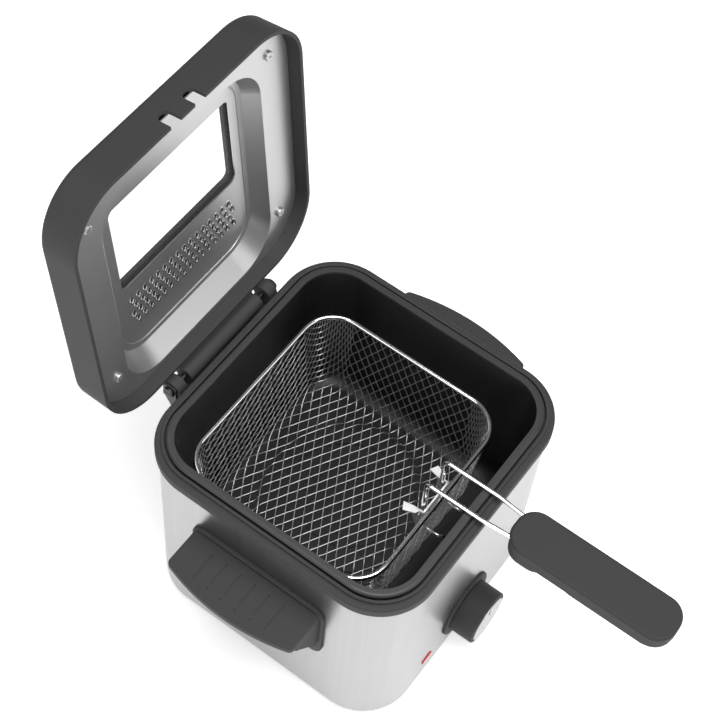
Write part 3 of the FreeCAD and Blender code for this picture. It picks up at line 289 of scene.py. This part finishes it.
def coated(name, tone, top):
    """Non-stick coating: near-black, satin and flecked, with a painted highlight that makes the flange at the
    top paler.
    """
    finish = Finish(name)
    height = finish.axes()[2]
    # Painted highlight: a paler band painted along the top of the flange, where the light catches it.
    flange_highlight = height.between(top - 2.2 * MM, top - 0.8 * MM)
    peel = finish.noise(420.0)
    cloud = finish.noise(20.0)
    specks = 1 - finish.cells(900.0).between(0.12, 0.2)
    return finish.surface({
        "Base Color": finish.tint(specks * 0.02 + cloud * 0.01 + flange_highlight * 0.6, tone, shade(tone, 9)),
        "Roughness": 0.36 + cloud * 0.1 + specks * 0.08,
        "Specular IOR Level": 0.45,
        "Normal": finish.bump(peel, 0.05 * MM),
    })


def pressed(name, tone):
    """Pressed satin aluminium: fine grain, faint draw lines and cloudy gloss."""
    finish = Finish(name)
    grain = finish.noise(1500.0, 2.0)
    drawn = finish.noise(1.0, 2.0, at=finish.stretched(streaked("X", 700.0, 30.0)))
    cloud = finish.noise(18.0)
    return finish.surface({
        "Base Color": finish.tint(grain * 0.4 + drawn * 0.6, shade(tone, 0.88), shade(tone, 1.1)),
        "Metallic": 0.9,
        "Roughness": 0.38 + grain * 0.06 + cloud * 0.06,
        "Normal": finish.bump(grain, 0.01 * MM),
    })


def rubbery(name, tone):
    """Dull rubber with a fine grain and settled dust."""
    finish = Finish(name)
    grain = finish.noise(800.0)
    dust = finish.noise(60.0, 4.0)
    return finish.surface({
        "Base Color": finish.tint(dust.between(0.35, 0.75), tone, shade(tone, 1.9)),
        "Roughness": 0.68 + dust * 0.15,
        "Normal": finish.bump(grain, 0.06 * MM),
    })


def clear_glass(name):
    """Flat tempered glass: see-through, glossy, slightly grey, with wiping marks."""
    finish = Finish(name)
    smear = finish.noise(35.0, 4.0)
    return finish.surface({
        "Base Color": finish.tint(smear, (0.3, 0.32, 0.31), (0.4, 0.42, 0.41)),
        "Roughness": 0.03 + smear * 0.05,
        "Alpha": 0.04 + smear * 0.04,
        "IOR": 1.5,
    })


def matted_fibre(name):
    """Filter fleece: grey strands over dark, with small knots."""
    finish = Finish(name)
    strands = finish.noise(500.0, 5.0, at=finish.stretched((1.0, 3.0, 1.0)))
    knots = finish.cells(260.0)
    return finish.surface({
        "Base Color": finish.tint(strands.between(0.3, 0.7), (0.03, 0.03, 0.03), (0.2, 0.2, 0.2)),
        "Metallic": 0.4,
        "Roughness": 0.6 + knots * 0.2,
        "Normal": finish.bump(strands, 0.6 * MM),
    })


def lens(name, tone):
    """Clear red lens over a lit reflector: ribbed, glossy, slightly glowing."""
    finish = Finish(name)
    height = finish.axes()[2]
    ribs = (height * 6000.0).wave() * 0.5 + 0.5
    return finish.surface({
        "Base Color": finish.tint(ribs, shade(tone, 0.7), tone),
        "Roughness": 0.12 + ribs * 0.1,
        "Coat Weight": 0.6,
        "Emission Color": finish.tint(ribs, shade(tone, 0.25), shade(tone, 0.5)),
        "Emission Strength": 0.5,
        "Normal": finish.bump(ribs, 0.1 * MM),
    })


def spun(name, tone, centre):
    """Turned disc: fine rings about its middle."""
    finish = Finish(name)
    across, _, height = finish.axes()
    far = ((across - centre.x) ** 2 + (height - centre.z) ** 2) ** 0.5
    rings = (far * 9000.0).wave() * 0.5 + 0.5
    mark = finish.noise(90.0)
    return finish.surface({
        "Base Color": finish.tint(rings * 0.6 + mark * 0.4, shade(tone, 0.9), shade(tone, 1.08)),
        "Metallic": 1.0,
        "Roughness": 0.24 + rings * 0.08 + mark * 0.06,
        "Normal": finish.bump(rings, 0.01 * MM),
    })


# ---------------------------------------------------------------- helpers

def settings():
    """The scene's basket, colour and studio settings."""
    scene = bpy.context.scene
    return scene.fryer_basket, scene.fryer_colours, scene.fryer_studio


def finished(name, make, *arguments, **options):
    """The named material, made on its first use."""
    return bpy.data.materials.get(name) or make(name, *arguments, **options)


def paint(material, *labels):
    """Give CAD pieces their finish."""
    for label in labels:
        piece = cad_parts[label]
        piece.data.materials.clear()
        piece.data.materials.append(material)


def new_piece(name, mesh, body, material, nodes=()):
    """A finished piece: linked, painted, and riding on its body."""
    piece = bpy.data.objects.new(name, mesh)
    bpy.context.scene.collection.objects.link(piece)
    piece.data.materials.append(material)
    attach(piece, body)
    if nodes:
        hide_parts(*nodes)
    return piece


def opened(mesh_parts):
    """Swing a piece that was drawn on the closed lid to where the open lid stands."""
    hinge = SHELL + Vector((0, HINGE_BACK, HINGE_HEIGHT)) * MM
    swing = Matrix.Rotation(-LID_OPEN, 4, "X")
    place = Matrix.Translation(hinge) @ swing @ Matrix.Translation(-hinge)
    bmesh.ops.transform(mesh_parts, matrix=place, verts=mesh_parts.verts)


def as_mesh(name, parts):
    """Mesh data from finished bmesh parts, with their normals turned outwards."""
    bmesh.ops.remove_doubles(parts, verts=parts.verts, dist=1e-6)
    bmesh.ops.recalc_face_normals(parts, faces=parts.faces)
    mesh = bpy.data.meshes.new(name)
    parts.to_mesh(mesh)
    parts.free()
    for polygon in mesh.polygons:
        polygon.use_smooth = True
    return mesh


def points_of(spline, points):
    """Run a straight-sided spline through the points."""
    spline.points.add(len(points) - 1)
    for target, point in zip(spline.points, points):
        target.co = (*point, 1)


# ---------------------------------------------------------------- lid details

LID_OPEN = math.radians(95)

# Places on the closed lid, in millimetres from the middle of the shell on the table.
HINGE_BACK = 112.5
HINGE_HEIGHT = 178.0
PANEL_HEIGHT = 202.0
PANEL_BACK = 6.0
BEAD_HALF_WIDE = 63.5
BEAD_HALF_LONG = 75.5
BEAD_CORNER = 22.0
BEAD_SUNK = 0.15
VENT_ROWS = 4
VENT_COLUMNS = 16
VENT_LEFT = -50.0
VENT_BACK = 36.0
VENT_SPAN = 96.1
VENT_ROW_STEP = 7.0
VENT_STAGGER = 3.1


def vent_lips():
    """Drawn lip round each steam vent in the lid's panel, higher on the side away from the window."""
    crest = 1.55 * MM
    outer_foot = 1.85 * MM
    inner_foot = 1.3 * MM
    sunk = 0.1 * MM
    low = 0.5 * MM
    high = 1.1 * MM
    long = 1.75
    lean = 0.5 * MM
    parts = bmesh.new()
    for row in range(VENT_ROWS):
        for column in range(VENT_COLUMNS):
            across = VENT_LEFT + (VENT_STAGGER if row % 2 else 0) + column * VENT_SPAN / (VENT_COLUMNS - 1)
            middle = SHELL + Vector((across, VENT_BACK + VENT_ROW_STEP * row, PANEL_HEIGHT)) * MM
            for foot in (outer_foot, inner_foot):
                wall = bmesh.ops.create_cone(
                    parts, segments=12, radius1=foot, radius2=crest, depth=high, cap_ends=False
                )["verts"]
                for vert in wall:
                    at_crest = vert.co.z > 0
                    vert.co.y = vert.co.y * long + (lean if at_crest else 0)
                    vert.co.z = -(high if vert.co.y > 0 else low) if at_crest else sunk
                bmesh.ops.translate(parts, verts=wall, vec=middle)
    opened(parts)
    return as_mesh("vent_lips", parts)


def ring_of_corners(half_wide, half_long, radius, steps=8):
    """Points of a rounded rectangle, corner by corner."""
    points = []
    for turn, (x, y) in enumerate(((1, 1), (-1, 1), (-1, -1), (1, -1))):
        for step in range(steps + 1):
            angle = math.radians(90 * (turn + step / steps))
            points.append((
                x * (half_wide - radius) + radius * math.cos(angle),
                y * (half_long - radius) + radius * math.sin(angle),
            ))
    return points


def panel_bead():
    """Half-round bead pressed round the lid's panel, as a tube half sunk in the sheet."""
    curve = bpy.data.curves.new("panel_bead", "CURVE")
    curve.dimensions = "3D"
    curve.bevel_depth = 0.7 * MM
    curve.bevel_resolution = 3
    ring = ring_of_corners(BEAD_HALF_WIDE, BEAD_HALF_LONG, BEAD_CORNER)
    middle = Vector((0, PANEL_BACK, PANEL_HEIGHT + BEAD_SUNK))
    spline = curve.splines.new("POLY")
    spline.use_cyclic_u = True
    points_of(spline, [SHELL + (middle + Vector((x, y, 0))) * MM for x, y in ring])
    parts = bmesh.new()
    parts.from_mesh(tube_mesh(curve))
    opened(parts)
    return as_mesh("panel_bead", parts)


def tube_mesh(curve):
    """The mesh of a bevelled curve."""
    context = bpy.context
    holder = bpy.data.objects.new("tube", curve)
    context.scene.collection.objects.link(holder)
    context.view_layer.update()
    mesh = bpy.data.meshes.new_from_object(holder.evaluated_get(context.evaluated_depsgraph_get()))
    bpy.data.objects.remove(holder)
    return mesh


# ---------------------------------------------------------------- side handle ribs

RIB_COUNT = 6

# Places on the finger shelves, in millimetres from the middle of the shell on the table.
SHELF_HEIGHT = 135.0
RIB_FRONT = -28.0
RIB_STEP = 11.6
RIB_OUT = 121.0
RIB_HALVES = (9.0, 0.8, 0.35)
PIP_OUT = 129.8
PIP_RADIUS = 0.65
SHELF_HALF_LONG = 40.0
SHELF_BOW = 4.5


def shelf_ribs(side):
    """Low ribs across the finger shelf of one side handle, each with a small pip at its outer end."""
    parts = bmesh.new()
    for place in range(RIB_COUNT):
        back = RIB_FRONT + RIB_STEP * place
        bow = SHELF_BOW * (1 - (back / SHELF_HALF_LONG) ** 2)
        rib = bmesh.ops.create_uvsphere(parts, u_segments=10, v_segments=6, radius=MM)["verts"]
        bmesh.ops.scale(parts, vec=RIB_HALVES, verts=rib)
        middle = SHELL + Vector((side * RIB_OUT, back, SHELF_HEIGHT)) * MM
        bmesh.ops.translate(parts, verts=rib, vec=middle)
        pip = bmesh.ops.create_uvsphere(parts, u_segments=8, v_segments=6, radius=PIP_RADIUS * MM)["verts"]
        middle = SHELL + Vector((side * (PIP_OUT + bow), back, SHELF_HEIGHT)) * MM
        bmesh.ops.translate(parts, verts=pip, vec=middle)
    return as_mesh("shelf_ribs", parts)


# ---------------------------------------------------------------- basket mesh

class BasketForm:
    """The woven sheet pressed into the basket: where a point of the flat sheet goes."""

    def __init__(self, sizes):
        low, high = RIM_WIRE
        self.middle = (low + high) / 2
        thick = high.z - low.z
        half = ((high - low) / 2).xy - Vector((thick, thick)) / 2
        lean = 6 * MM
        inset = lean + sizes.bend + sizes.corner
        self.bend = sizes.bend
        self.corner = sizes.corner
        self.raised = sizes.raised
        self.floor = BASKET_FLOOR + sizes.gauge * 0.9
        self.straight = half - Vector((inset, inset))
        self.panel = half - Vector((15.5, 19)) * MM
        under_rim = 0.4 * MM
        rise = self.middle.z - under_rim - self.floor - sizes.bend
        self.slope = math.atan2(rise, lean)
        self.arc = self.slope * sizes.bend
        self.reach = self.arc + math.hypot(rise, lean)

    def depth(self, point):
        """The nearest point inside the floor's corners, the way out, and how far past the flat floor."""
        inner = Vector([max(-s, min(s, p)) for p, s in zip(point, self.straight)])
        out = point - inner
        far = out.length - self.corner
        way = out.normalized() if out.length > 1e-9 else Vector((0, 0))
        return inner, way, far

    def embossed(self, point):
        """Height of the oval panel pressed up in the floor, with a short sloping edge."""
        edge = 0.06
        far = math.hypot(point.x / self.panel.x, point.y / self.panel.y)
        step = max(0.0, min(1.0, (1.0 - far) / edge))
        return self.raised * step * step * (3 - 2 * step)

    def place(self, point, lift):
        """Where a point of the flat sheet goes, lifted a little off the pressed one."""
        inner, way, far = self.depth(point)
        if far <= 0:
            lift += self.embossed(point)
            return Vector((point.x + self.middle.x, point.y + self.middle.y, self.floor + lift))
        turn = min(far / self.bend, self.slope)
        past = max(0, far - self.arc)
        out = self.bend * math.sin(turn) + past * math.cos(self.slope) - lift * math.sin(turn)
        up = self.bend * (1 - math.cos(turn)) + past * math.sin(self.slope) + lift * math.cos(turn)
        flat = inner + way * (self.corner + out)
        return Vector((flat.x + self.middle.x, flat.y + self.middle.y, self.floor + up))


def weave(sizes):
    """Curve data with one spline for each mesh wire, two slants, each over and under the other in turn."""
    form = BasketForm(sizes)
    curve = bpy.data.curves.new("basket_weave", "CURVE")
    curve.dimensions = "3D"
    curve.bevel_depth = sizes.gauge / 2
    curve.bevel_resolution = 1
    curve.use_fill_caps = True
    first_crossing = SHELL.xy + Vector((-19.8, 59.5)) * MM - form.middle.xy
    right, left = (
        Vector((math.cos(sizes.slant), side * math.sin(sizes.slant))) * sizes.pitch for side in (1, -1)
    )
    rows = 44
    stops = 3
    for side, along, across in ((1, right, left), (-1, left, right)):
        for row in range(-rows, rows + 1):
            points = []
            for stop in range(-stops * rows, stops * rows + 1):
                spot = first_crossing + across * row + along * stop / stops
                if form.depth(spot)[2] > form.reach:
                    continue
                wave = math.cos(math.pi * (stop / stops + row)) * side
                points.append(form.place(spot, wave * sizes.crimp))
            if len(points) > 2:
                points_of(curve.splines.new("POLY"), points)
    return curve


class FRYER_OT_basket(bpy.types.Operator):
    """Weave the basket's mesh and plate its wires"""

    bl_idname = "fryer.basket"
    bl_label = "Basket"

    def execute(self, context):
        sizes, colours, _ = settings()
        chrome = finished("chrome_wire", plated, tuple(colours.chrome))
        mesh = tube_mesh(weave(sizes))
        mesh.shade_smooth()
        dull = finished("mesh_wire", plated, shade(colours.chrome, 0.9), 0.3)
        new_piece("woven_mesh", mesh, "basket", dull, ["basket_mesh"])
        satin = finished("satin_plate", plated, shade(colours.chrome, 1.25), 0.42)
        paint(satin, "handle_bracket")
        paint(chrome, "basket_rim_wire", "drain_hooks", "handle_wire_right", "handle_wire_left")
        return {"FINISHED"}


class FRYER_OT_housing(bpy.types.Operator):
    """Finish the shell, rim, pot, base and side handles"""

    bl_idname = "fryer.housing"
    bl_label = "Housing"

    def execute(self, context):
        _, colours, _ = settings()
        steel = finished("shell_steel", brushed, tuple(colours.steel), "Z")
        plastic = finished("body_plastic", moulded, tuple(colours.plastic))
        pot_top = max(corner[2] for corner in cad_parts["inner_pot"].bound_box)
        coating = finished("pot_coating", coated, tuple(colours.nonstick), pot_top)
        rubber = finished("black_rubber", rubbery, tuple(colours.rubber))
        paint(steel, "outer_shell")
        paint(plastic, "top_rim", "base_plate", "side_handle_right", "side_handle_left")
        paint(coating, "inner_pot")
        for side, name in ((1, "shelf_ribs_right"), (-1, "shelf_ribs_left")):
            new_piece(name, shelf_ribs(side), "housing", plastic)
        paint(rubber, "rubber_feet", "cord_gland", "pot_gasket")
        return {"FINISHED"}


class FRYER_OT_controls(bpy.types.Operator):
    """Finish the knob, its bezel and the pilot lamp"""

    bl_idname = "fryer.controls"
    bl_label = "Controls"

    def execute(self, context):
        _, colours, _ = settings()
        plastic = finished("body_plastic", moulded, tuple(colours.plastic))
        silver = finished("spun_silver", spun, tuple(colours.silver), middle_of("knob_cap"))
        red = finished("red_lens", lens, tuple(colours.lamp))
        plain = finished("plain_steel", brushed, tuple(colours.plain_steel), "X", 0.36)
        insulator = finished("insulator", moulded, tuple(colours.insulator), 0.5, 600.0)
        paint(plastic, "dial_bezel", "control_knob")
        paint(silver, "knob_cap")
        paint(red, "lamp_lens")
        paint(plain, "thermostat_shaft")
        paint(insulator, "lamp_body")
        return {"FINISHED"}


class FRYER_OT_lid(bpy.types.Operator):
    """Finish the lid, its liner, window, filter and screws"""

    bl_idname = "fryer.lid"
    bl_label = "Lid"

    def execute(self, context):
        _, colours, _ = settings()
        plastic = finished("body_plastic", moulded, tuple(colours.plastic))
        metal = finished("liner_metal", pressed, tuple(colours.liner))
        glass = finished("window_glass", clear_glass)
        rubber = finished("black_rubber", rubbery, tuple(colours.rubber))
        fibre = finished("filter_fibre", matted_fibre)
        plain = finished("plain_steel", brushed, tuple(colours.plain_steel), "X", 0.36)
        paint(plastic, "lid_cover", "hinge_cover")
        paint(metal, "lid_liner")
        paint(glass, "window_glass")
        paint(rubber, "window_gasket")
        paint(fibre, "filter_pad")
        dark = finished("dark_steel", brushed, tuple(colours.dark_steel), "X", 0.4)
        paint(plain, "lid_screws", "side_handle_screws")
        paint(dark, "hinge_bracket", "hinge_screws", "hinge_pins")
        # Painted highlight: the vent lips are pressed from the liner, but they get bright plating that is
        # much lighter than the liner's metal, to stand in for the light they catch.
        highlight_plating = finished("bright_edge", plated, tuple(colours.chrome), 0.16)
        new_piece("vent_lips", vent_lips(), "lid", highlight_plating)
        new_piece("panel_bead", panel_bead(), "lid", metal)
        return {"FINISHED"}


class FRYER_OT_grip(bpy.types.Operator):
    """Finish the basket grip"""

    bl_idname = "fryer.grip"
    bl_label = "Grip"

    def execute(self, context):
        _, colours, _ = settings()
        plastic = finished("grip_plastic", moulded, tuple(colours.grip), 0.46, 1100.0, 0.05 * MM)
        plain = finished("plain_steel", brushed, tuple(colours.plain_steel), "X", 0.36)
        paint(plastic, "grip_upper", "grip_lower")
        paint(plain, "grip_screws")
        return {"FINISHED"}


class FRYER_OT_works(bpy.types.Operator):
    """Finish the heater, thermostat and wiring under the pot"""

    bl_idname = "fryer.works"
    bl_label = "Inside works"

    def execute(self, context):
        _, colours, _ = settings()
        plain = finished("plain_steel", brushed, tuple(colours.plain_steel), "X", 0.36)
        metal = finished("liner_metal", pressed, tuple(colours.liner))
        insulator = finished("insulator", moulded, tuple(colours.insulator), 0.5, 600.0)
        paint(plain, "pot_studs", "stud_nuts", "heating_element", "heat_shield", "thermal_cutout")
        paint(plain, "thermostat_body", "thermostat_bulb")
        paint(metal, "heat_spreader")
        paint(insulator, "terminal_block", "wiring")
        return {"FINISHED"}


# ---------------------------------------------------------------- stage

def studio_floor(name, tone):
    """Pale, evenly lit paper."""
    finish = Finish(name)
    cloud = finish.noise(3.0, 2.0)
    return finish.surface({
        "Base Color": finish.tint(cloud, shade(tone, 0.99), tone),
        "Roughness": 0.7 + cloud * 0.1,
        "Emission Color": finish.tint(cloud, (0.98, 0.98, 0.98), (1, 1, 1)),
        "Emission Strength": 0.55,
    })


def softbox(name, place, target, size, power):
    """A rectangular light of this size in metres, aimed at the target."""
    lamp = bpy.data.lights.new(name, "AREA")
    lamp.shape = "RECTANGLE"
    lamp.size, lamp.size_y = size
    lamp.energy = power
    holder = bpy.data.objects.new(name, lamp)
    bpy.context.scene.collection.objects.link(holder)
    holder.location = place
    holder.rotation_euler = (target - place).to_track_quat("-Z", "Y").to_euler()


class FRYER_OT_stage(bpy.types.Operator):
    """Lay the floor, hang the softboxes and set the camera"""

    bl_idname = "fryer.stage"
    bl_label = "Stage"

    def execute(self, context):
        studio = settings()[2]
        scene = context.scene
        sheet = bmesh.new()
        bmesh.ops.create_grid(sheet, x_segments=2, y_segments=2, size=6.0)
        mesh = bpy.data.meshes.new("studio_floor")
        sheet.to_mesh(mesh)
        sheet.free()
        floor = bpy.data.objects.new("studio_floor", mesh)
        scene.collection.objects.link(floor)
        floor.data.materials.append(studio_floor("studio_floor", tuple(studio.floor)))
        world = bpy.data.worlds.new("studio_light")
        scene.world = world
        world.use_nodes = True
        sky = world.node_tree.nodes["Background"].inputs
        sky["Color"].default_value = (1, 1, 1, 1)
        sky["Strength"].default_value = studio.fill
        aim = SHELL + Vector((0, 0, 0.15))
        softbox("top_softbox", aim + Vector((-0.15, -0.3, 1.7)), aim, (1.2, 1.2), studio.key)
        softbox("left_softbox", aim + Vector((-1.6, 0.3, 0.7)), aim, (0.9, 1.3), studio.side)
        softbox("front_softbox", aim + Vector((0.5, -1.7, 0.7)), aim, (1.3, 0.9), studio.side)
        set_camera(scene)
        return {"FINISHED"}


def set_camera(scene):
    """Look down at the fryer from its front left corner."""
    azimuth, elevation, roll = (math.radians(angle) for angle in (-59.53, 57.91, 6.62))
    back = Vector((
        math.sin(azimuth) * math.cos(elevation), -math.cos(azimuth) * math.cos(elevation), math.sin(elevation)
    ))
    level = Vector((math.cos(azimuth), math.sin(azimuth), 0))
    upright = back.cross(level)
    right = math.cos(roll) * level + math.sin(roll) * upright
    up = math.cos(roll) * upright - math.sin(roll) * level
    lens_data = bpy.data.cameras.new("camera")
    lens_data.sensor_width = 36
    lens_data.lens = 87.37
    camera = bpy.data.objects.new("camera", lens_data)
    scene.collection.objects.link(camera)
    camera.matrix_world = Matrix((right, up, back)).transposed().to_4x4()
    camera.location = SHELL + Vector((-0.4927, -0.2879, 1.1683))
    scene.camera = camera
    scene.view_settings.view_transform = "Standard"


# ---------------------------------------------------------------- add-on

OPERATORS = (
    FRYER_OT_housing,
    FRYER_OT_controls,
    FRYER_OT_lid,
    FRYER_OT_basket,
    FRYER_OT_grip,
    FRYER_OT_works,
    FRYER_OT_stage,
)


class FRYER_PT_panel(bpy.types.Panel):
    """Lists the steps that build the fryer's looks"""

    bl_idname = "FRYER_PT_panel"
    bl_label = "Deep fryer"
    bl_space_type = "VIEW_3D"
    bl_region_type = "UI"
    bl_category = "Fryer"

    def draw(self, context):
        for operator in OPERATORS:
            self.layout.operator(operator.bl_idname)
        for group in (context.scene.fryer_basket, context.scene.fryer_colours, context.scene.fryer_studio):
            box = self.layout.box()
            for key in group.__annotations__:
                box.prop(group, key)


CLASSES = (BasketSettings, ColourSettings, StudioSettings, *OPERATORS, FRYER_PT_panel)


def register():
    for item in CLASSES:
        bpy.utils.register_class(item)
    bpy.types.Scene.fryer_basket = bpy.props.PointerProperty(type=BasketSettings)
    bpy.types.Scene.fryer_colours = bpy.props.PointerProperty(type=ColourSettings)
    bpy.types.Scene.fryer_studio = bpy.props.PointerProperty(type=StudioSettings)


def unregister():
    del bpy.types.Scene.fryer_studio
    del bpy.types.Scene.fryer_colours
    del bpy.types.Scene.fryer_basket
    for item in reversed(CLASSES):
        bpy.utils.unregister_class(item)


def main():
    register()
    bpy.ops.fryer.housing()
    bpy.ops.fryer.controls()
    bpy.ops.fryer.lid()
    bpy.ops.fryer.basket()
    bpy.ops.fryer.grip()
    bpy.ops.fryer.works()
    bpy.ops.fryer.stage()


if __name__ == "__main__":
    main()
